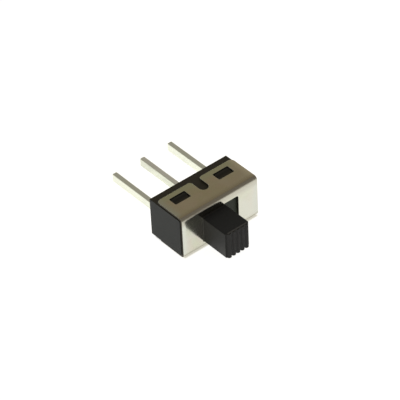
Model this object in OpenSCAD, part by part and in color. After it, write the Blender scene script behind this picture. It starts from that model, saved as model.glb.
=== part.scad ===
// Sub-miniature slide switch: two positions, three straight pins.
// It lies on one flange of its steel cover. +X is the slide direction, -Y the
// knob side, +Y the pin side and +Z up. The origin is on the resting flange,
// halfway along the body and halfway between the front and the seat face.

/* [Body] */
// Length of the body along the slide direction
body_length = 12.95; // [12.65:0.05:14.25]
// Depth from the cover's front face to the face that seats on the board
body_depth = 6.35; // [6.15:0.05:7.35]
// Thickness across the two flanges of the cover
body_height = 6.5; // [6.3:0.1:7.5]
// Height of the slot, the knob and the pins above the resting flange
axis_height = 3; // [2.95:0.05:3.3]

/* [Cover] */
// Thickness of the cover's steel sheet
sheet = 0.3; // [0.25:0.05:0.35]
// Inside radius of the two long bends
inside_bend = 0.25; // [0.15:0.05:0.3]
// Distance that the base stands out past each end of the cover
end_step = 0.13; // [0.05:0.01:0.3]
// Distance from the seat face back to the ends of the flanges
flange_setback = 1.29; // [1.1:0.01:1.5]
// Radius of the corners at the flanges' ends
flange_corner = 0.6; // [0.2:0.05:0.8]
// Play between the knob and the slot's end in each position
knob_play = 0.06; // [0.04:0.02:0.3]
// Height of the slot that the knob slides in
slot_height = 4.34; // [4.2:0.02:4.6]
// Corner radius of the slot
slot_corner = 0.3; // [0.1:0.05:0.5]
// Length of each catch window along the body
window_length = 2.56; // [2:0.02:3]
// Width of each catch window across the flange
window_width = 1.42; // [1.2:0.02:1.6]
// Distance between the centres of the two windows in a flange
window_pitch = 7.3; // [6:0.1:8]
// Distance from the seat face to the window centres
window_setback = 2.79; // [2.65:0.01:2.9]
// Corner radius of the windows
window_corner = 0.15; // [0.05:0.05:0.4]
// Width of the notch in the middle of each flange's end
notch_width = 1.4; // [1:0.02:1.8]
// Depth of the notch, round bottom included
notch_depth = 2.5; // [1.6:0.05:2.6]
// Radius of the notch's mouth corners
notch_mouth = 0.42; // [0.2:0.02:0.6]

/* [Base] */
// Thickness of the base's end walls
end_wall = 0.9; // [0.7:0.05:0.92]
// Thickness of the floor that holds the terminals
floor_thickness = 1.8; // [1.5:0.1:2]
// Height that the catches stand up into the windows
catch_height = 0.25; // [0.15:0.01:0.26]
// Play between a catch and its window, all round
catch_play = 0.12; // [0.06:0.02:0.2]
// Length of the flat top of each catch, in front of its locking face
catch_flat = 0.55; // [0.3:0.05:0.8]
// Play between the base and the inside of the cover
cover_play = 0.02; // [0.01:0.01:0.04]
// Depth of the detent dimples in the floor
dimple_depth = 0.14; // [0.08:0.01:0.2]

/* [Slider] */
// Distance that the slider travels between its two positions
travel = 2.15; // [1.8:0.05:2.3]
// Length of the knob along the slide direction
knob_length = 3.88; // [3.7:0.02:3.96]
// Height of the knob
knob_height = 4; // [3.8:0.05:4.15]
// Distance that the knob's flat end stands out of the cover
knob_reach = 4.5; // [3:0.05:6]
// Radius of the knob's long edges
knob_edge = 0.12; // [0.06:0.02:0.3]
// Radius of the knob's corners at its flat end
knob_corner = 0.1; // [0.06:0.02:0.2]
// Number of finger ribs across the knob's end
rib_count = 5; // [3:1:5]
// Distance from one rib to the next
rib_pitch = 0.72; // [0.7:0.01:0.76]
// Thickness of each rib, whose outer edge is fully round
rib_width = 0.66; // [0.56:0.02:0.68]
// Distance that the ribs stand out of the knob's end
rib_reach = 0.34; // [0.2:0.01:0.5]
// Overlap of the block behind the cover, past each long edge of the slot
block_lap = 0.02; // [0.02:0.01:0.1]
// Play of the slider across the cavity and behind the cover
running_play = 0.03; // [0.02:0.01:0.06]
// Play left at each end stop
stop_play = 0.02; // [0.01:0.01:0.04]
// Gap between the back of the slider and the floor
floor_gap = 0.15; // [0.1:0.05:0.2]

/* [Terminals] */
// Distance from one pin to the next
pin_pitch = 4.7; // [4.6:0.1:4.8]
// Thickness of the terminal strip, seen along the body
pin_thickness = 0.76; // [0.6:0.02:0.8]
// Width of each pin, across the body
pin_width = 1.3; // [1.1:0.05:1.5]
// Distance that the pins stand out of the seat face
pin_length = 9.7; // [3:0.1:12]
// Width of the head that locks each terminal in the floor
head_width = 2.1; // [1.8:0.1:2.4]
// Depth of that head below the floor's surface
head_depth = 0.6; // [0.4:0.1:0.9]
// Play between a terminal and the floor round it
terminal_play = 0.01; // [0.01:0.01:0.03]

/* [Contact] */
// Length of the flat part of the moving contact
contact_length = 7; // [6.8:0.1:7.3]
// Width of the moving contact
contact_width = 1.2; // [1:0.05:1.3]
// Thickness of the moving contact's strip
contact_sheet = 0.25; // [0.2:0.05:0.35]
// Inside radius of its turned-up ends
contact_bend = 0.3; // [0.2:0.05:0.35]
// Angle that its ends turn up by
contact_angle = 60; // [30:5:65]
// Gap between pieces that touch in the real switch
touch_gap = 0.02; // [0.01:0.01:0.03]
// Side play of the contact in its pocket
pocket_play = 0.05; // [0.03:0.01:0.07]
// Depth of the contact's pocket in the back of the slider
pocket_depth = 0.8; // [0.75:0.05:1]

/* [Springs] */
// Outside diameter of the contact spring
contact_spring_diameter = 1.2; // [1:0.05:1.5]
// Wire diameter of the contact spring
contact_spring_wire = 0.18; // [0.14:0.01:0.22]
// Number of turns of the contact spring
contact_spring_turns = 6; // [4:1:7]
// Depth of the contact spring's bore below the pocket
contact_bore_depth = 1.9; // [1.6:0.1:2.2]
// Diameter of the two detent balls
ball_diameter = 0.8; // [0.7:0.05:0.85]
// Distance from the switch axis to each ball
ball_offset = 1.32; // [1.28:0.02:1.4]
// Wire diameter of the detent springs
detent_spring_wire = 0.12; // [0.1:0.01:0.14]
// Number of turns of the detent springs
detent_spring_turns = 7; // [5:1:8]
// Depth of the detent bores below the back of the slider
detent_bore_depth = 2.3; // [2:0.1:2.6]
// Play between a spring or ball and its bore
bore_play = 0.03; // [0.02:0.01:0.05]

/* [Hidden] */
$fn = 48;

// Overshoot of every cut past the face that it opens
cut = 0.5;
wire_sides = 8;
coil_steps = 20;

steel = "#c9c8bf";
black_plastic = "#2c2b2a";
grey_plastic = "#414240";
silver = "#d9d6c8";
spring_steel = "#9a9a98";

bend_radius = sheet + inside_bend;
cover_length = body_length - 2 * end_step;
slot_length = knob_length + travel + 2 * knob_play;

// Faces along Y
front = -body_depth / 2;
seat = body_depth / 2;
flange_end = seat - flange_setback;
window_y = seat - window_setback;
floor_face = seat - floor_thickness;
cover_inside = front + sheet;
slider_front = cover_inside + running_play;
slider_back = floor_face - floor_gap;
knob_end = front - knob_reach;
rib_end = knob_end - rib_reach;
pocket_floor = slider_back - pocket_depth;
contact_bore_end = pocket_floor - contact_bore_depth;
detent_bore_end = slider_back - detent_bore_depth;

// The base fits inside the cover
base_low = sheet + cover_play;
base_high = body_height - sheet - cover_play;

// The slider rests at the -X end of its travel
rest_x = -travel / 2;
slider_length = body_length - 2 * (end_wall + stop_play) - travel;
slider_height = slot_height + 2 * block_lap;
cavity_height = slider_height + 2 * running_play;

// The contact presses on the terminals' inner ends
contact_back = floor_face - touch_gap;
contact_front = contact_back - contact_sheet;
contact_reach = contact_length / 2 + (contact_bend + contact_sheet) * sin(contact_angle);

// The balls touch the floor's surface, and ride with the slider
ball_radius = ball_diameter / 2;
ball_y = floor_face - touch_gap - ball_radius;
detent_bore_diameter = ball_diameter + 2 * bore_play;
detent_spring_diameter = ball_diameter;
detent_coil_radius = (detent_spring_diameter - detent_spring_wire) / 2;
// Height at which the end coil meets the ball
coil_on_ball = sqrt(pow(ball_radius + detent_spring_wire / 2, 2) - pow(detent_coil_radius, 2));
detent_spring_end = ball_y - coil_on_ball + detent_spring_wire / 2 - touch_gap;

// ---- Shared shapes ----

// Rectangle centred on the origin, with true arcs at its corners
module round_rectangle(length, width, radius) {
    square([length - 2 * radius, width], center = true);
    square([length, width - 2 * radius], center = true);
    for (x = [-1, 1], y = [-1, 1])
        translate([x * (length / 2 - radius), y * (width / 2 - radius)])
            circle(r = radius);
}

// Prism along +Y from start to end; its outline is drawn in X and Z
module along_y(start, end) {
    translate([0, end, 0])
        rotate([90, 0, 0])
            linear_extrude(height = end - start)
                children();
}

// Prism along X, centred; its outline is drawn in Y and Z
module along_x(length) {
    rotate([90, 0, 90])
        linear_extrude(height = length, center = true)
            children();
}

// Points of a circle of wire at one step along a compression spring, whose
// two end turns lie closed
function spring_rise(t, turns, wire, length) =
    let(closed = wire + touch_gap, open = (length - wire - 2 * closed) / (turns - 2))
    t < 1 ? t * closed
    : t < turns - 1 ? closed + (t - 1) * open
    : closed + (turns - 2) * open + (t - turns + 1) * closed;

function wire_ring(t, turns, wire, coil_radius, length) = [
    for (i = [0:wire_sides - 1])
        let(
            a = 360 * i / wire_sides,
            r = coil_radius + wire / 2 * cos(a),
            rise = wire / 2 + spring_rise(t, turns, wire, length) + wire / 2 * sin(a)
        )
        [r * cos(360 * t), r * sin(360 * t), rise]
];

// Compression spring standing on the XY plane
module compression_spring(turns, wire, diameter, length) {
    coil_radius = (diameter - wire) / 2;
    rings = turns * coil_steps;
    points = [
        for (k = [0:rings])
            each wire_ring(k / coil_steps, turns, wire, coil_radius, length)
    ];
    side = [
        for (k = [0:rings - 1], i = [0:wire_sides - 1])
            let(j = (i + 1) % wire_sides, a = k * wire_sides)
            [a + i, a + wire_sides + i, a + wire_sides + j, a + j]
    ];
    first = [for (i = [0:wire_sides - 1]) i];
    last = [for (i = [wire_sides - 1:-1:0]) rings * wire_sides + i];
    polyhedron(points = points, faces = concat(side, [first, last]), convexity = 8);
}

// Spring that lies along Y, from its seat at start to its free end
module spring_along_y(start, end, turns, wire, diameter) {
    translate([0, start, 0])
        rotate([-90, 0, 0])
            compression_spring(turns, wire, diameter, end - start);
}

// ---- Cover ----

// Section of the body inside an offset from the cover's outside: a front face
// and two flat sides that run back to reach, with rounded bends between them
module body_section(inset, reach) {
    radius = bend_radius - inset;
    low = inset;
    high = body_height - inset;
    translate([front + inset + radius, low])
        square([reach - front - inset - radius, high - low]);
    translate([front + inset, low + radius])
        square([radius + cut, high - low - 2 * radius]);
    for (z = [low + radius, high - radius])
        translate([front + inset + radius, z])
            circle(r = radius);
}

// Outline of the notch in a flange's end: round bottom, rounded mouth
module notch_outline() {
    half = notch_width / 2;
    bottom = flange_end - notch_depth;
    translate([0, bottom + half])
        circle(r = half);
    translate([-half, bottom + half])
        square([notch_width, notch_depth - half + cut]);
    for (side = [-1, 1])
        difference() {
            translate([side * (half + notch_mouth / 2), flange_end - notch_mouth / 2 + cut / 2])
                square([notch_mouth, notch_mouth + cut], center = true);
            translate([side * (half + notch_mouth), flange_end - notch_mouth])
                circle(r = notch_mouth);
        }
}

// What rounding off the two corners of a flange's end takes away
module flange_corners() {
    for (side = [-1, 1])
        difference() {
            translate([
                side * (cover_length / 2 + (cut - flange_corner) / 2),
                flange_end + (cut - flange_corner) / 2,
            ])
                square(flange_corner + cut, center = true);
            translate([side * (cover_length / 2 - flange_corner), flange_end - flange_corner])
                circle(r = flange_corner);
        }
}

module cover() {
    color(steel)
        difference() {
            along_x(cover_length)
                difference() {
                    body_section(0, flange_end);
                    body_section(sheet, flange_end + cut);
                }
            translate([0, 0, axis_height])
                along_y(front - cut, cover_inside + cut / 2)
                    round_rectangle(slot_length, slot_height, slot_corner);
            for (side = [-1, 1])
                translate([side * window_pitch / 2, window_y, -cut])
                    linear_extrude(height = body_height + 2 * cut)
                        round_rectangle(window_length, window_width, window_corner);
            translate([0, 0, -cut])
                linear_extrude(height = body_height + 2 * cut) {
                    notch_outline();
                    flange_corners();
                }
        }
}

// ---- Base ----

// Catch on the upper face: a ramp that the flange rides over, a flat top and
// a locking face towards the seat
module catch() {
    back = window_y + window_width / 2 - catch_play;
    ramp_start = window_y - window_width / 2 + catch_play;
    along_x(window_length - 2 * catch_play)
        polygon([
            [ramp_start, -catch_height],
            [back, -catch_height],
            [back, catch_height],
            [back - catch_flat, catch_height],
            [ramp_start, 0],
        ]);
}

// Room in the floor for one terminal: a wide head, then the pin
module terminal_room(play) {
    translate([0, 0, axis_height]) {
        along_y(floor_face - (play > 0 ? cut : 0), floor_face + head_depth + play)
            square([pin_thickness + 2 * play, head_width + 2 * play], center = true);
        along_y(floor_face + head_depth / 2, seat + (play > 0 ? cut : pin_length))
            square([pin_thickness + 2 * play, pin_width + 2 * play], center = true);
    }
}

// Dimples that the detent balls stop over, in both positions
module dimples() {
    mouth = ball_radius * 0.9;
    rise = (mouth * mouth - dimple_depth * dimple_depth) / (2 * dimple_depth);
    for (x = [-travel / 2, travel / 2], side = [-1, 1])
        translate([x, floor_face - rise, axis_height + side * ball_offset])
            sphere(r = rise + dimple_depth);
}

module base() {
    color(grey_plastic)
        difference() {
            union() {
                along_x(body_length)
                    body_section(sheet + cover_play, seat);
                for (side = [-1, 1]) {
                    translate([side * window_pitch / 2, 0, base_high])
                        catch();
                    translate([side * window_pitch / 2, 0, base_low])
                        mirror([0, 0, 1])
                            catch();
                }
            }
            translate([0, 0, axis_height])
                along_y(front, floor_face)
                    square([body_length - 2 * end_wall, cavity_height], center = true);
            dimples();
            for (x = [-pin_pitch, 0, pin_pitch])
                translate([x, 0, 0])
                    terminal_room(terminal_play);
        }
}

// ---- Slider ----

// Plan of the knob: a block with finger ribs across its end
module knob_plan() {
    half = knob_length / 2;
    translate([-half, knob_end + knob_corner])
        square([knob_length, slider_front - knob_end - knob_corner + cut]);
    translate([-half + knob_corner, knob_end])
        square([knob_length - 2 * knob_corner, 2 * knob_corner]);
    for (side = [-1, 1])
        translate([side * (half - knob_corner), knob_end + knob_corner])
            circle(r = knob_corner);
    for (i = [0:rib_count - 1])
        translate([(i - (rib_count - 1) / 2) * rib_pitch, rib_end + rib_width / 2]) {
            circle(d = rib_width);
            translate([-rib_width / 2, 0])
                square([rib_width, rib_reach]);
        }
}

module knob() {
    intersection() {
        translate([0, 0, axis_height])
            along_y(rib_end - cut, slider_front + cut)
                round_rectangle(knob_length, knob_height, knob_edge);
        linear_extrude(height = body_height)
            knob_plan();
    }
}

// Block behind the cover, which closes the slot and carries the works
module carriage() {
    translate([0, 0, axis_height])
        along_y(slider_front, slider_back)
            square([slider_length, slider_height], center = true);
}

module slider() {
    pocket_length = 2 * (contact_reach + pocket_play);
    color(black_plastic)
        translate([rest_x, 0, 0])
            difference() {
                union() {
                    knob();
                    carriage();
                }
                translate([0, 0, axis_height]) {
                    along_y(pocket_floor, slider_back + cut)
                        square([pocket_length, contact_width + 2 * pocket_play], center = true);
                    along_y(contact_bore_end, slider_back + cut)
                        circle(d = contact_spring_diameter + 2 * bore_play);
                    for (side = [-1, 1])
                        translate([0, 0, side * ball_offset])
                            along_y(detent_bore_end, slider_back + cut)
                                circle(d = detent_bore_diameter);
                }
            }
}

// ---- Terminals ----

module terminal(x) {
    color(silver)
        translate([x, 0, 0])
            terminal_room(0);
}

module terminal_left() { terminal(-pin_pitch); }

module terminal_common() { terminal(0); }

module terminal_right() { terminal(pin_pitch); }

// ---- Moving contact and its spring ----

// One turned-up end, in plan, starting where the flat part stops
module contact_end() {
    outer = contact_bend + contact_sheet;
    translate([contact_length / 2, contact_back - outer])
        intersection() {
            difference() {
                circle(r = outer);
                circle(r = contact_bend);
            }
            polygon([
                [0, 0],
                [0, 2 * outer],
                [2 * outer * sin(contact_angle), 2 * outer],
                [2 * outer * sin(contact_angle), 2 * outer * cos(contact_angle)],
            ]);
        }
}

module contact() {
    color(silver)
        translate([rest_x, 0, axis_height])
            linear_extrude(height = contact_width, center = true) {
                translate([-contact_length / 2, contact_front])
                    square([contact_length, contact_sheet]);
                contact_end();
                mirror([1, 0])
                    contact_end();
            }
}

module contact_spring() {
    color(spring_steel)
        translate([rest_x, 0, axis_height])
            spring_along_y(
                contact_bore_end + touch_gap, contact_front - touch_gap,
                contact_spring_turns, contact_spring_wire, contact_spring_diameter
            );
}

// ---- Detent ----

module detent_ball(side) {
    color(spring_steel)
        translate([rest_x, ball_y, axis_height + side * ball_offset])
            sphere(r = ball_radius);
}

module detent_spring(side) {
    color(spring_steel)
        translate([rest_x, 0, axis_height + side * ball_offset])
            spring_along_y(
                detent_bore_end + touch_gap, detent_spring_end,
                detent_spring_turns, detent_spring_wire, detent_spring_diameter
            );
}

module detent_ball_upper() { detent_ball(1); }

module detent_ball_lower() { detent_ball(-1); }

module detent_spring_upper() { detent_spring(1); }

module detent_spring_lower() { detent_spring(-1); }

cover();
base();
slider();
terminal_left();
terminal_common();
terminal_right();
contact();
contact_spring();
detent_ball_upper();
detent_ball_lower();
detent_spring_upper();
detent_spring_lower();
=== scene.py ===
import math
from contextlib import contextmanager

import bmesh
import bpy
from mathutils import Matrix, Vector


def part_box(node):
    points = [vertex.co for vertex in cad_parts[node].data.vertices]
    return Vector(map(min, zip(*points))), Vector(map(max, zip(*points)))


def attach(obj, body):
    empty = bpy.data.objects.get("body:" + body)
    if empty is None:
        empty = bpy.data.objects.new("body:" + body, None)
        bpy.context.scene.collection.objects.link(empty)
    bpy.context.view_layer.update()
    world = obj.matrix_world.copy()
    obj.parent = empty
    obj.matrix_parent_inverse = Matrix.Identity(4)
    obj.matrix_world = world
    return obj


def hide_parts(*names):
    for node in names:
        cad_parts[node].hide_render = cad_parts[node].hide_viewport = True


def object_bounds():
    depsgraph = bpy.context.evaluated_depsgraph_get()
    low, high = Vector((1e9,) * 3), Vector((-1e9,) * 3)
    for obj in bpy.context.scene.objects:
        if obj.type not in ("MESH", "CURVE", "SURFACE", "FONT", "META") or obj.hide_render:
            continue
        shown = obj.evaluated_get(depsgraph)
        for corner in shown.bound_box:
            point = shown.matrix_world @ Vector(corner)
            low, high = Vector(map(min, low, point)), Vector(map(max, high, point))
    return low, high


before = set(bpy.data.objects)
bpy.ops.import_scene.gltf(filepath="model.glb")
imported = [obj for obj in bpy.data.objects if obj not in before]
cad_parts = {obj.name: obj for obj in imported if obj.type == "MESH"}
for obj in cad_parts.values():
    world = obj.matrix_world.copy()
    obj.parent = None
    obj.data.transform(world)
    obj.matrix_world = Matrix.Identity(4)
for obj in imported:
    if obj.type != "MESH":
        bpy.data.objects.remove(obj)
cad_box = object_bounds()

# ---- Base ----
# The base is one moulding of dark grey glass-filled nylon: a box that is open towards the cover,
# with a thick floor for the terminals. It is pushed into the cover from behind, until the two
# catches on each flat side snap into the cover's windows.

MM = 0.001  # a millimetre, in metres: sizes are in millimetres until piece() scales a solid


def box_of(node):
    """The lowest and highest corners of a CAD node, in millimetres."""
    return [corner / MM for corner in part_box(node)]


base_low, base_high = box_of("base")
pin_low, pin_high = box_of("terminal_common")
axis_height = (pin_low.z + pin_high.z) / 2  # of the slot, the knob and the pins
half_length = base_high.x
mouth, seat = base_low.y, base_high.y  # the open front and the closed back
wall, floor = 0.9, 1.8
floor_face = seat - floor
cavity_half_height, cavity_corner = 2.22, 0.08
base_edge = 0.05

# Each catch stands in a window of the cover. It is a ramp with a flat crest.
window_pitch, window_from_seat = 7.3, 2.79
window_half_length, window_half_width = 1.28, 0.71
catch_height, crest_width, catch_root, catch_play = 0.25, 0.55, 0.2, 0.12
crest = base_high.z
underside, upper_side = base_low.z + catch_height, crest - catch_height

# Each terminal has a room in the floor that is wide at its head and narrow at its pin.
pin_pitch, pin_half_width = 4.7, 0.65
head_half_width, head_length = 1.05, 0.6
strip_half_thickness, room_play = 0.38, 0.01

# The cover's steel, whose bends the base's front edges follow.
sheet, bend, cover_play = 0.3, 0.55, 0.02

over = 1  # how far a cutting solid stands out past what it cuts
same_point = 1e-5  # points nearer to each other than this are one


def rounded(corners, steps=6):
    """Points round a closed outline of corners (u, v, radius), with steps to a right angle."""
    points = []
    for i, (u, v, radius) in enumerate(corners):
        here = Vector((u, v))
        back = (Vector(corners[i - 1][:2]) - here).normalized()
        ahead = (Vector(corners[(i + 1) % len(corners)][:2]) - here).normalized()
        if radius == 0:
            points.append(here)
            continue
        half = back.angle(ahead) / 2
        centre = here + (back + ahead).normalized() * radius / math.sin(half)
        spoke = here + back * radius / math.tan(half) - centre
        sweep = math.copysign(math.pi - 2 * half, ahead.cross(back))
        count = max(1, round(steps * abs(sweep) / (math.pi / 2)))
        for k in range(count + 1):
            points.append(centre + Matrix.Rotation(sweep * k / count, 2) @ spoke)
    return [p for i, p in enumerate(points) if (p - points[i - 1]).length > same_point]


def rectangle(u0, u1, v0, v1, radius=0.0):
    """Outline of a rectangle with equal corner radii."""
    return rounded([(u, v, radius) for u, v in ((u0, v0), (u1, v0), (u1, v1), (u0, v1))])


def about(middle, half):
    """The two ends of a length, from its middle and its half."""
    return middle - half, middle + half


def prism(outline, start, end, along):
    """A solid of that outline, which is drawn in the two other axes, in order."""
    turn = {
        "X": lambda u, v, s: (s, u, v),
        "Y": lambda u, v, s: (u, s, v),
        "Z": lambda u, v, s: (u, v, s),
    }[along]
    work = bmesh.new()
    low, high = ([work.verts.new(turn(u, v, s)) for u, v in outline] for s in (start, end))
    work.faces.new(low)
    work.faces.new(high)
    for i in range(len(low)):
        work.faces.new((low[i - 1], low[i], high[i], high[i - 1]))
    bmesh.ops.recalc_face_normals(work, faces=work.faces)
    mesh = bpy.data.meshes.new("draft")
    work.to_mesh(mesh)
    work.free()
    solid = bpy.data.objects.new("draft", mesh)
    bpy.context.scene.collection.objects.link(solid)
    return solid


@contextmanager
def editing(solid):
    """Opens a solid's mesh for bmesh tools, and puts back what they made of it."""
    work = bmesh.new()
    work.from_mesh(solid.data)
    yield work
    work.to_mesh(solid.data)
    work.free()


def settle(solid):
    """Turns what a solid's modifiers do into its own mesh."""
    graph = bpy.context.evaluated_depsgraph_get()
    graph.update()
    solid.data = bpy.data.meshes.new_from_object(solid.evaluated_get(graph))
    solid.modifiers.clear()


def combine(operation, solid, *tools):
    """Joins tools on (UNION), cuts them out (DIFFERENCE) or keeps the shared part (INTERSECT)."""
    for tool in tools:
        step = solid.modifiers.new("combine", "BOOLEAN")
        step.operation, step.object, step.solver = operation, tool, "EXACT"
    settle(solid)
    for tool in tools:
        bpy.data.objects.remove(tool)
    flat = math.radians(0.5)
    with editing(solid) as work:
        bmesh.ops.remove_doubles(work, verts=work.verts, dist=same_point)
        bmesh.ops.dissolve_limit(work, angle_limit=flat, verts=work.verts, edges=work.edges)
    return solid


front_corner = bend - sheet - cover_play
shell = prism(
    rounded([
        (mouth, underside, front_corner), (seat, underside, 0),
        (seat, upper_side, 0), (mouth, upper_side, front_corner),
    ]),
    *about(0, half_length), "X",
)
window_y = seat - window_from_seat
catch_half_length = window_half_length - catch_play
catch_front = window_y - window_half_width + catch_play
catch_back = window_y + window_half_width - catch_play
catches = []
for x in (-window_pitch / 2, window_pitch / 2):
    for surface, up in ((upper_side, 1), (underside, -1)):
        profile = [
            (catch_front, surface - up * catch_root),
            (catch_back, surface - up * catch_root),
            (catch_back, surface + up * catch_height),
            (catch_back - crest_width, surface + up * catch_height),
            (catch_front, surface),
        ]
        catches.append(prism(profile, *about(x, catch_half_length), "X"))
shell = combine("UNION", shell, *catches)

cavity = prism(
    rectangle(
        *about(0, half_length - wall), *about(axis_height, cavity_half_height), cavity_corner
    ),
    mouth - over, floor_face, "Y",
)
rooms = []
for x in (-pin_pitch, 0, pin_pitch):
    for half_width, start, stop in (
        (head_half_width, floor_face - over, floor_face + head_length + room_play),
        (pin_half_width, floor_face + head_length / 2, seat + over),
    ):
        outline = rectangle(
            *about(x, strip_half_thickness + room_play),
            *about(axis_height, half_width + room_play),
        )
        rooms.append(prism(outline, start, stop, "Y"))
shell = combine("DIFFERENCE", shell, cavity, *rooms)


class Number:
    """A socket that carries a number. Arithmetic with it adds Math nodes."""

    def __init__(self, nodes, socket):
        self.nodes, self.socket = nodes, socket

    def maths(self, operation, *terms):
        """The result of one Math node."""
        return self.nodes.node("Math", {"operation": operation}, dict(enumerate(terms)))

    def __add__(self, other):
        return self.maths("ADD", self, other)

    def __sub__(self, other):
        return self.maths("SUBTRACT", self, other)

    def __rsub__(self, other):
        return self.maths("SUBTRACT", other, self)

    def __mul__(self, other):
        return self.maths("MULTIPLY", self, other)

    def __abs__(self):
        return self.maths("ABSOLUTE", self)

    __radd__ = __add__
    __rmul__ = __mul__

    def above(self, low):
        """How far the number lies above low, and 0 below it."""
        return self.maths("MAXIMUM", self - low, 0)

    def between(self, low, high):
        """0 below low, 1 above high, and a smooth rise between them."""
        return self.nodes.node(
            "MapRange",
            {"interpolation_type": "SMOOTHSTEP"},
            {"Value": self, "From Min": low, "From Max": high},
        )


class Nodes:
    """A node tree. One method adds every node."""

    def __init__(self, tree):
        self.tree = tree

    def node(self, kind, settings=(), sockets=(), output=0):
        """Adds a node, makes its settings, fills its sockets and returns one of its outputs."""
        made = self.tree.nodes.new("ShaderNode" + kind)
        for name, value in dict(settings).items():
            setattr(made, name, value)
        for name, value in dict(sockets).items():
            self.fill(made.inputs[name], value)
        return Number(self, made.outputs[output])

    def fill(self, socket, value):
        """Gives a socket a link, a number, a vector or a colour."""
        if isinstance(value, Number):
            self.tree.links.new(value.socket, socket)
        elif socket.type == "RGBA":
            socket.default_value = (*value, 1)
        else:
            socket.default_value = value

    def along(self, vector, axis):
        """The part of a vector along one axis."""
        return self.node("SeparateXYZ", {}, {0: vector}, output=axis)

    def mix(self, factor, first, second):
        """A colour that goes from first to second as factor goes from 0 to 1."""
        sockets = {"Factor": factor, 6: first, 7: second}
        return self.node("Mix", {"data_type": "RGBA"}, sockets, output=2)


class Finish(Nodes):
    """A material with one Principled shader. Its textures are placed in millimetres."""

    def __init__(self, name, **constants):
        self.material = bpy.data.materials.new(name)
        self.material.use_nodes = True
        super().__init__(self.material.node_tree)
        self.shader = self.tree.nodes["Principled BSDF"]
        place = self.node("TexCoord", output="Object")
        self.place = self.node("VectorMath", {"operation": "SCALE"}, {0: place, "Scale": 1 / MM})
        self.set(**constants)

    def set(self, **values):
        """Fills the shader's sockets by name: base_color=..., roughness=... and so on."""
        for name, value in values.items():
            socket = name.replace("_", " ").title().replace("Ior", "IOR")
            self.fill(self.shader.inputs[socket], value)

    def axis(self, name):
        """The place along one axis, in millimetres."""
        return self.along(self.place, name)

    def facing_up(self, start):
        """0 where the normal's rise is below start, and 1 where the surface faces straight up."""
        return self.along(self.node("NewGeometry", output="Normal"), "Z").between(start, 1)

    def cloud(self, size, stretch=(1, 1, 1), detail=2, start=0):
        """Soft random patches about that many millimetres across, longer along some axes."""
        place = self.node(
            "VectorMath",
            {"operation": "MULTIPLY_ADD"},
            {0: self.place, 1: [1 / (size * s) for s in stretch], 2: (start, start, start)},
        )
        return self.node("TexNoise", {}, {"Vector": place, "Scale": 1, "Detail": detail})

    def relief(self, height):
        """The normal of a surface that stands out by that many millimetres."""
        return self.node("Bump", {}, {"Height": height, "Distance": MM, "Strength": 1})


nylon_dark, nylon_light = (0.017, 0.020, 0.019), (0.023, 0.025, 0.023)
nylon_dust = (0.053, 0.048, 0.031)
grey_nylon = Finish("grey_nylon", specular_ior_level=0.25)
# The moulding is faintly mottled, with the fine spark texture of its mould.
mottle = grey_nylon.cloud(1.6, detail=3)
spark_texture = grey_nylon.cloud(0.07)
# Dust lies on the upward side, and the cover has wiped most of it off the catches' crests.
wiped = grey_nylon.axis("Z").between(crest - 0.16, crest - 0.03)
dust = grey_nylon.facing_up(0.85) * (1 - 0.6 * wiped)
moulded = grey_nylon.mix(mottle, nylon_dark, nylon_light)
grey_nylon.set(
    base_color=grey_nylon.mix(dust, moulded, nylon_dust),
    roughness=0.5 + 0.16 * spark_texture,
    normal=grey_nylon.relief(0.006 * spark_texture),
)


def piece(name, solid, edge, *finishes):
    """Rounds a solid's sharp edges, scales it to metres and gives it its name and finishes."""
    for face in solid.data.polygons:
        face.use_smooth = True
    sharpest_arc = math.radians(32)
    rounding = solid.modifiers.new("rounding", "BEVEL")
    rounding.width, rounding.segments = edge, 3
    rounding.limit_method, rounding.angle_limit = "ANGLE", sharpest_arc
    rounding.use_clamp_overlap = False
    rounding.miter_outer = "MITER_ARC"
    settle(solid)
    sliver = 1e-4
    with editing(solid) as work:
        bmesh.ops.dissolve_degenerate(work, dist=sliver, edges=work.edges)
        bmesh.ops.remove_doubles(work, verts=work.verts, dist=sliver)
    shading = solid.modifiers.new("shading", "WEIGHTED_NORMAL")
    shading.mode, shading.weight = "FACE_AREA", 100
    settle(solid)
    solid.data.transform(Matrix.Scale(MM, 4))
    solid.name = solid.data.name = name
    solid.data.materials.clear()
    for finish in finishes:
        solid.data.materials.append(finish.material)
    return solid


base = piece("base_moulding", shell, base_edge, grey_nylon)
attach(base, "housing")
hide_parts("base")


# ---- Terminals ----
# The three terminals are straight strips stamped from brass and tinned. Each is pushed through
# the floor from inside, until its wide head locks in the floor, and its pin stands out behind.

head_corner, tip_corner, stamped_edge = 0.2, 0.16, 0.15
pin_end = pin_high.y
shoulder = floor_face + head_length

tin_dull, tin_clear, tin_pale = (0.81, 0.83, 0.71), (0.85, 0.87, 0.77), (0.98, 0.98, 0.90)
tinned = Finish("tinned_brass", metallic=1.0)
# Fine lines run along the strips, and the tin lies in dull and clear patches.
draw_lines = tinned.cloud(0.12, stretch=(1, 40, 1), detail=3)
patches = tinned.cloud(2.5, stretch=(1, 1.5, 1), detail=3, start=4).between(0.35, 0.65)
# The middle pin's tin is duller than the other two, and paler on top.
middle_pin = 1 - abs(tinned.axis("X")).between(1, 4)
tin = tinned.mix(patches, tin_dull, tin_clear)
tinned.set(
    base_color=tinned.mix(middle_pin * tinned.facing_up(0.85), tin, tin_pale),
    roughness=0.24 + 0.1 * draw_lines + 0.22 * patches + 0.14 * middle_pin,
    normal=tinned.relief(0.002 * draw_lines),
)

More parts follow.
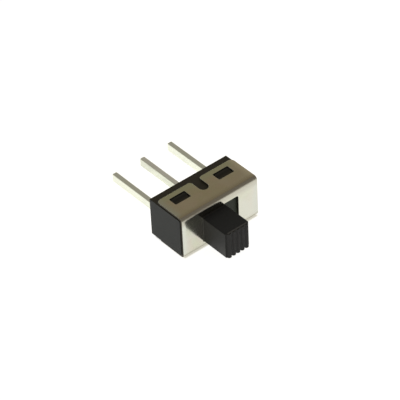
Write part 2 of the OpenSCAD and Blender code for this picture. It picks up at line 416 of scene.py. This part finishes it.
lower_half = [
    (floor_face, -head_half_width, head_corner), (shoulder, -head_half_width, 0),
    (shoulder, -pin_half_width, 0), (pin_end, -pin_half_width, tip_corner),
]
upper_half = [(y, -z, radius) for y, z, radius in reversed(lower_half)]
outline = rounded([(y, axis_height + z, radius) for y, z, radius in lower_half + upper_half])
for x, name in ((-pin_pitch, "left"), (0, "common"), (pin_pitch, "right")):
    strip = prism(outline, *about(x, strip_half_thickness), "X")
    terminal = piece("terminal_strip_" + name, strip, stamped_edge, tinned)
    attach(terminal, "housing")
    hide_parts("terminal_" + name)


# ---- Moving contact, springs and balls ----
# Inside, a silver-plated contact strip bridges two terminals, pressed on them by a coil spring.
# Two steel balls on smaller springs click over dimples in the floor. None of it shows outside.

silver_tarnished, silver_clean = (0.78, 0.75, 0.68), (0.88, 0.87, 0.84)
silver = Finish("silver_plating", metallic=1.0)
silver_bloom = silver.cloud(0.8, detail=3)
silver.set(
    base_color=silver.mix(silver_bloom, silver_tarnished, silver_clean),
    roughness=0.2 + 0.15 * silver_bloom,
)
wire_dark, wire_light = (0.36, 0.35, 0.33), (0.5, 0.49, 0.47)
wire = Finish("spring_wire", metallic=1.0)
die_lines = wire.cloud(0.05, stretch=(1, 1, 3))
wire.set(base_color=wire.mix(die_lines, wire_dark, wire_light), roughness=0.28 + 0.15 * die_lines)
ball_dark, ball_light = (0.55, 0.54, 0.52), (0.62, 0.61, 0.6)
ball_steel = Finish("ball_steel", metallic=1.0)
lapping = ball_steel.cloud(0.2)
ball_steel.set(
    base_color=ball_steel.mix(lapping, ball_dark, ball_light), roughness=0.08 + 0.08 * lapping
)
for node, finish in {
    "contact": silver,
    "contact_spring": wire,
    "detent_spring_upper": wire,
    "detent_spring_lower": wire,
    "detent_ball_upper": ball_steel,
    "detent_ball_lower": ball_steel,
}.items():
    for material_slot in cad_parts[node].material_slots:
        material_slot.material = finish.material


# ---- Slider ----
# The slider is one moulding of black acetal: a block that runs in the cavity and a square knob
# that stands out through the slot. Five ribs across the knob's end give the finger a grip.

slider_low, slider_high = box_of("slider")
cover_low, cover_high = box_of("cover")
front = cover_low.y
block_play = 0.03
block_front, block_back = front + sheet + block_play, slider_high.y
knob_half_length, knob_half_height, knob_reach, root_in_block = 1.94, 2.0, 4.5, 0.5
knob_x = (slider_low.x + slider_high.x) / 2
knob_root, knob_end = block_front + root_in_block, front - knob_reach
plan_corner, section_corner = 0.07, 0.12
rib_pitch, rib_half_width, rib_end = 0.72, 0.33, slider_low.y
pocket_depth, pocket_play = 0.8, 0.05
bore_play, bore_bottom_play = 0.03, 0.02
slider_edge = 0.04

acetal_black, acetal_lit_in_slot = (0.007, 0.0075, 0.007), (0.016, 0.024, 0.011)
acetal_lit_by_table, acetal_dusty = (0.050, 0.051, 0.048), (0.026, 0.029, 0.033)
acetal_worn, acetal_rubbed_and_lit = (0.038, 0.038, 0.038), (0.11, 0.11, 0.10)
groove_dust_and_painted_light = (0.15, 0.153, 0.156)
black_acetal = Finish("black_acetal", specular_ior_level=0.25)
# The moulding has a soft haze and fine pores.
haze = black_acetal.cloud(1.2, detail=3)
pores = black_acetal.cloud(0.06)
x, y, z = (black_acetal.axis(name) for name in "XYZ")
# Painted light: the knob is lighter away from the cover and low down on the sides, where more of
# the table's light reaches it.
painted_table_light = (mouth - y).between(1, 5) * (1 - z.between(axis_height - 1.5, axis_height + 1.5))
# Painted light: the block's face in the slot is lighter and greener than the knob. Dust lies on
# the knob's top.
in_slot = y.between(front, front + 0.3)
facing_up = black_acetal.facing_up(0.6)
# The grip's end is worn matt. The grooves between the ribs are lighter: partly dust, and partly
# painted light that lifts the shade in them.
on_grip = 1 - y.between(rib_end + 0.4, rib_end + 0.5)
in_grooves = y.between(rib_end + 0.08, rib_end + 0.3) * (rib_end + 0.44 - y).between(0, 0.08)
in_grooves = in_grooves * (1 - abs(x - knob_x).between(1.5, 1.72))
# A pale line runs round the knob's root, fainter on top: partly a mark rubbed by the slot's edge,
# and partly painted light that lifts the shade in the gap and stands for the edge's highlight.
rubbed_and_lit_line = (1 - abs(y - front - 0.05).between(0.1, 0.3)) * (1 - 0.5 * facing_up)
surface = black_acetal.mix(in_slot, acetal_black, acetal_lit_in_slot)
for mark, colour in (
    (painted_table_light * painted_table_light, acetal_lit_by_table),
    (facing_up, acetal_dusty),
    (on_grip, acetal_worn),
    (in_grooves, groove_dust_and_painted_light),
    (rubbed_and_lit_line, acetal_rubbed_and_lit),
):
    surface = black_acetal.mix(mark, surface, colour)
black_acetal.set(
    base_color=surface,
    roughness=0.45 + 0.12 * haze + 0.4 * on_grip,
    normal=black_acetal.relief(0.003 * pores),
)

left, right = about(knob_x, knob_half_length)
plan = [(right, knob_root, 0), (right, knob_end, plan_corner)]
for place in (2, 1, 0, -1, -2):
    rib_left, rib_right = about(knob_x + place * rib_pitch, rib_half_width)
    plan += [
        (rib_right, knob_end, 0), (rib_right, rib_end, rib_half_width),
        (rib_left, rib_end, rib_half_width), (rib_left, knob_end, 0),
    ]
plan += [(left, knob_end, plan_corner), (left, knob_root, 0)]
section = rectangle(left, right, *about(axis_height, knob_half_height), section_corner)
knob = combine(
    "INTERSECT",
    prism(rounded(plan), *about(axis_height, knob_half_height + over), "Z"),
    prism(section, rib_end - over, knob_root + over, "Y"),
)
block = prism(
    rectangle(slider_low.x, slider_high.x, slider_low.z, slider_high.z),
    block_front, block_back, "Y",
)
contact_low, contact_high = box_of("contact")
pocket = prism(
    rectangle(
        contact_low.x - pocket_play, contact_high.x + pocket_play,
        contact_low.z - pocket_play, contact_high.z + pocket_play,
    ),
    block_back - pocket_depth, block_back + over, "Y",
)
bores = []
for spring in ("contact_spring", "detent_spring_upper", "detent_spring_lower"):
    spring_low, spring_high = box_of(spring)
    centre = (spring_low + spring_high) / 2
    radius = (spring_high.x - spring_low.x) / 2 + bore_play
    circle = rectangle(*about(centre.x, radius), *about(centre.z, radius), radius)
    bores.append(prism(circle, spring_low.y - bore_bottom_play, block_back + over, "Y"))
slider_solid = combine("DIFFERENCE", combine("UNION", knob, block), pocket, *bores)
slider = piece("slider_moulding", slider_solid, slider_edge, black_acetal)
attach(slider, "slider")
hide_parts("slider")


# ---- Cover ----
# The cover is punched from nickel-plated steel strip and folded round the base, so its faces are
# bright and its sheared edges are bare dark steel. Windows hold the base's catches, and the notch
# in the end of each flange is the blank's locating notch.

bottom, top = cover_low.z, cover_high.z
cover_end, flange_end = cover_high.x, cover_high.y
mid_height = (bottom + top) / 2
slot_half_length, slot_half_height, slot_corner = 3.075, 2.17, 0.3
window_corner, flange_corner = 0.15, 0.6
notch_half_width, notch_depth, notch_mouth_corner = 0.7, 2.5, 0.42
cover_edge = 0.03

nickel_olive, nickel_brown = (0.60, 0.605, 0.475), (0.635, 0.585, 0.505)
nickel_pale, nickel_at_back = (0.65, 0.655, 0.58), (0.59, 0.66, 0.53)
nickel_in_bend_shade = (0.50, 0.485, 0.41)
front_left_end, front_right_end = (0.65, 0.67, 0.60), (0.62, 0.635, 0.57)
flange_left_end, flange_right_end = (0.61, 0.68, 0.655), (0.80, 0.815, 0.73)
warm_reflection_tint = (0.85, 0.75, 0.60)
plated = Finish("nickel_plating", metallic=1.0)
bloom = plated.cloud(2.2, start=2)
stain = plated.cloud(1.8, detail=1, start=15)
rolling = plated.cloud(0.05, stretch=(30, 1, 1), detail=3)
x, y, z = (plated.axis(name) for name in "XYZ")
to_the_right = x.between(-3, 3)
behind_front = y - front
# The plating is stained in olive and brown patches, and paler towards the right.
paler = 0.5 * bloom.between(0.35, 0.65) + 0.5 * x.between(-2, 6)
nickel = plated.mix(stain.between(0.35, 0.65), nickel_olive, nickel_brown)
nickel = plated.mix(paler, nickel, nickel_pale)
nickel = plated.mix(y.between(flange_end - 1.6, flange_end - 0.4), nickel, nickel_at_back)
# Painted highlights: near the cover's two ends the plating is paler, in one tone on the front and
# another on the upper flange.
upward_faces = plated.facing_up(0.92)
end_highlights = plated.mix(
    upward_faces,
    plated.mix(to_the_right, front_left_end, front_right_end),
    plated.mix(to_the_right, flange_left_end, flange_right_end),
)
nickel = plated.mix(abs(x).between(cover_end - 1.15, cover_end - 0.05), nickel, end_highlights)
# Painted shade: the bends are darker, over a wider band at the upper one, where they reflect the
# dim room and the shaded table under the switch.
past_upper_bend = (1.35 * behind_front + (top - z)).between(0.55, 1.7)
past_lower_bend = (behind_front + (z - bottom)).between(0.4, 0.8)
shaded_bends = (1 - past_upper_bend) + (1 - past_lower_bend)
nickel = plated.mix(0.9 * shaded_bends, nickel, nickel_in_bend_shade)
# Painted reflection: the upward side is tinted warm, like the warm room that it reflects.
tint = plated.mix(upward_faces, (1, 1, 1), warm_reflection_tint)
# The bends are rougher than the flat faces, and the faces droop a little at the two ends.
on_bends = 1 - (behind_front + (mid_height - abs(z - mid_height))).between(0.4, 0.65)
end_droop = abs(x).above(cover_end - 0.7)
plated.set(
    base_color=plated.node("VectorMath", {"operation": "MULTIPLY"}, {0: nickel, 1: tint}),
    roughness=0.12 + 0.05 * rolling + 0.04 * bloom + 0.2 * on_bends,
    normal=plated.relief(0.0004 * rolling - 0.08 * end_droop * end_droop),
)
sheared_dark, sheared_light = (0.05, 0.045, 0.035), (0.11, 0.095, 0.075)
sheared = Finish("sheared_steel", metallic=0.7)
tear = sheared.cloud(0.08, detail=3)
sheared.set(
    base_color=sheared.mix(tear, sheared_dark, sheared_light),
    roughness=0.5 + 0.2 * tear,
    normal=sheared.relief(0.01 * tear),
)

inner_bend = bend - sheet
folded = prism(
    rounded([
        (flange_end + over, bottom, 0), (front, bottom, bend),
        (front, top, bend), (flange_end + over, top, 0),
        (flange_end + over, top - sheet, 0), (front + sheet, top - sheet, inner_bend),
        (front + sheet, bottom + sheet, inner_bend), (flange_end + over, bottom + sheet, 0),
    ], steps=12),
    *about(0, cover_end + over), "X",
)
notch_bottom = flange_end - notch_depth
blank = prism(
    rounded([
        (-cover_end, front - over, 0), (cover_end, front - over, 0),
        (cover_end, flange_end, flange_corner),
        (notch_half_width, flange_end, notch_mouth_corner),
        (notch_half_width, notch_bottom, notch_half_width),
        (-notch_half_width, notch_bottom, notch_half_width),
        (-notch_half_width, flange_end, notch_mouth_corner),
        (-cover_end, flange_end, flange_corner),
    ], steps=8),
    bottom - over, top + over, "Z",
)
slot = prism(
    rectangle(*about(0, slot_half_length), *about(axis_height, slot_half_height), slot_corner),
    front - over, front + sheet + over, "Y",
)
windows = [
    prism(
        rectangle(
            *about(x, window_half_length), *about(window_y, window_half_width), window_corner
        ),
        bottom - over, top + over, "Z",
    )
    for x in (-window_pitch / 2, window_pitch / 2)
]
folded = combine("DIFFERENCE", combine("INTERSECT", folded, blank), slot, *windows)
cover = piece("folded_cover", folded, cover_edge, plated, sheared)


def depth_in_sheet(point):
    """How far a point of the cover lies below the outside of the folded sheet, in millimetres."""
    from_front = point.y / MM - front
    from_flange = min(point.z / MM - bottom, top - point.z / MM)
    if from_front < bend and from_flange < bend:
        return bend - math.hypot(bend - from_front, bend - from_flange)
    return min(from_front, from_flange)


plating_depth = 0.02
for face in cover.data.polygons:
    depths = [depth_in_sheet(cover.data.vertices[i].co) for i in face.vertices]
    if plating_depth < sum(depths) / len(depths) < sheet - plating_depth:
        face.material_index = 1
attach(cover, "housing")
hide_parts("cover")


# ---- Table, light and camera ----
# The switch lies on a light table, a sheet of white acrylic that is lit from below. The room
# above it is dim and warm, and a little lighter behind the switch.

table_half = 4.0 / MM
table_mesh = bpy.data.meshes.new("light_table")
table_outline = rectangle(*about(0, table_half), *about(0, table_half))
corners = [Vector((*corner, 0)) * MM for corner in table_outline]
table_mesh.from_pydata(corners, [], [(0, 1, 2, 3)])
table = bpy.data.objects.new("light_table", table_mesh)
table.location.z = cad_box[0].z - 0.01 * MM
bpy.context.scene.collection.objects.link(table)

light_near, light_far = (1, 1, 0.985), (0.6, 0.6, 0.59)
no_light, light_under_bend = (0.02, 0.02, 0.02), (0.47, 0.46, 0.40)
acrylic = Finish(
    "white_acrylic", base_color=(0.8, 0.8, 0.79), roughness=0.6, emission_strength=0.92
)
x, y = acrylic.axis("X"), acrylic.axis("Y")
distance = acrylic.node("VectorMath", {"operation": "LENGTH"}, {0: acrylic.place}, output="Value")
lit = acrylic.mix(distance.between(42, 100), light_near, light_far)
# The switch shuts off the light that it stands on, with a thin contact line under its front bend.
forward = (front + 1.2 - y).above(0)
under_bend = acrylic.mix(forward.between(0, 0.6), no_light, light_under_bend)
under_switch = acrylic.mix(forward.between(1.1, 1.45), under_bend, lit)
past_ends_and_back = abs(x).above(half_length - 0.6) + y.above(seat - 0.6)
acrylic.set(emission_color=acrylic.mix(past_ends_and_back.between(0.1, 0.6), under_switch, lit))
table_mesh.materials.append(acrylic.material)

room_in_front, room_behind = (0.225, 0.200, 0.170), (0.33, 0.31, 0.27)
horizon_glow, below_horizon = (0.8, 0.79, 0.77), (1.0, 0.98, 0.93)
world = bpy.data.worlds.new("studio")
world.use_nodes = True
bpy.context.scene.world = world
room = Nodes(world.node_tree)
direction = room.node("TexCoord", output="Generated")
height = room.along(direction, "Z")
behind = room.along(direction, "Y").between(0, 0.55)
glow = (1 - height.between(0.05, 0.5)) * behind
sky = room.mix(glow, room.mix(behind, room_in_front, room_behind), horizon_glow)
sky = room.mix(height.between(-0.03, 0.02), below_horizon, sky)
room.fill(world.node_tree.nodes["Background"].inputs["Color"], sky)

azimuth, elevation, roll = (math.radians(angle) for angle in (-38.317, 40.431, -2.951))
aim = Vector((-0.144, 0.737, 3.851)) * MM
camera_distance = 0.3
across = Vector((math.cos(azimuth), math.sin(azimuth), 0))
level = math.cos(elevation)
back = Vector((math.sin(azimuth) * level, -math.cos(azimuth) * level, math.sin(elevation)))
upright = Matrix((across, back.cross(across), back)).transposed().to_4x4()
camera = bpy.data.objects.new("camera", bpy.data.cameras.new("camera"))
camera.data.lens, camera.data.sensor_width = 208.53, 36
camera.data.clip_start = 0.01
camera.matrix_world = (
    Matrix.Translation(aim + back * camera_distance) @ upright @ Matrix.Rotation(roll, 4, "Z")
)
bpy.context.scene.collection.objects.link(camera)
bpy.context.scene.camera = camera
bpy.context.scene.view_settings.view_transform = "Standard"
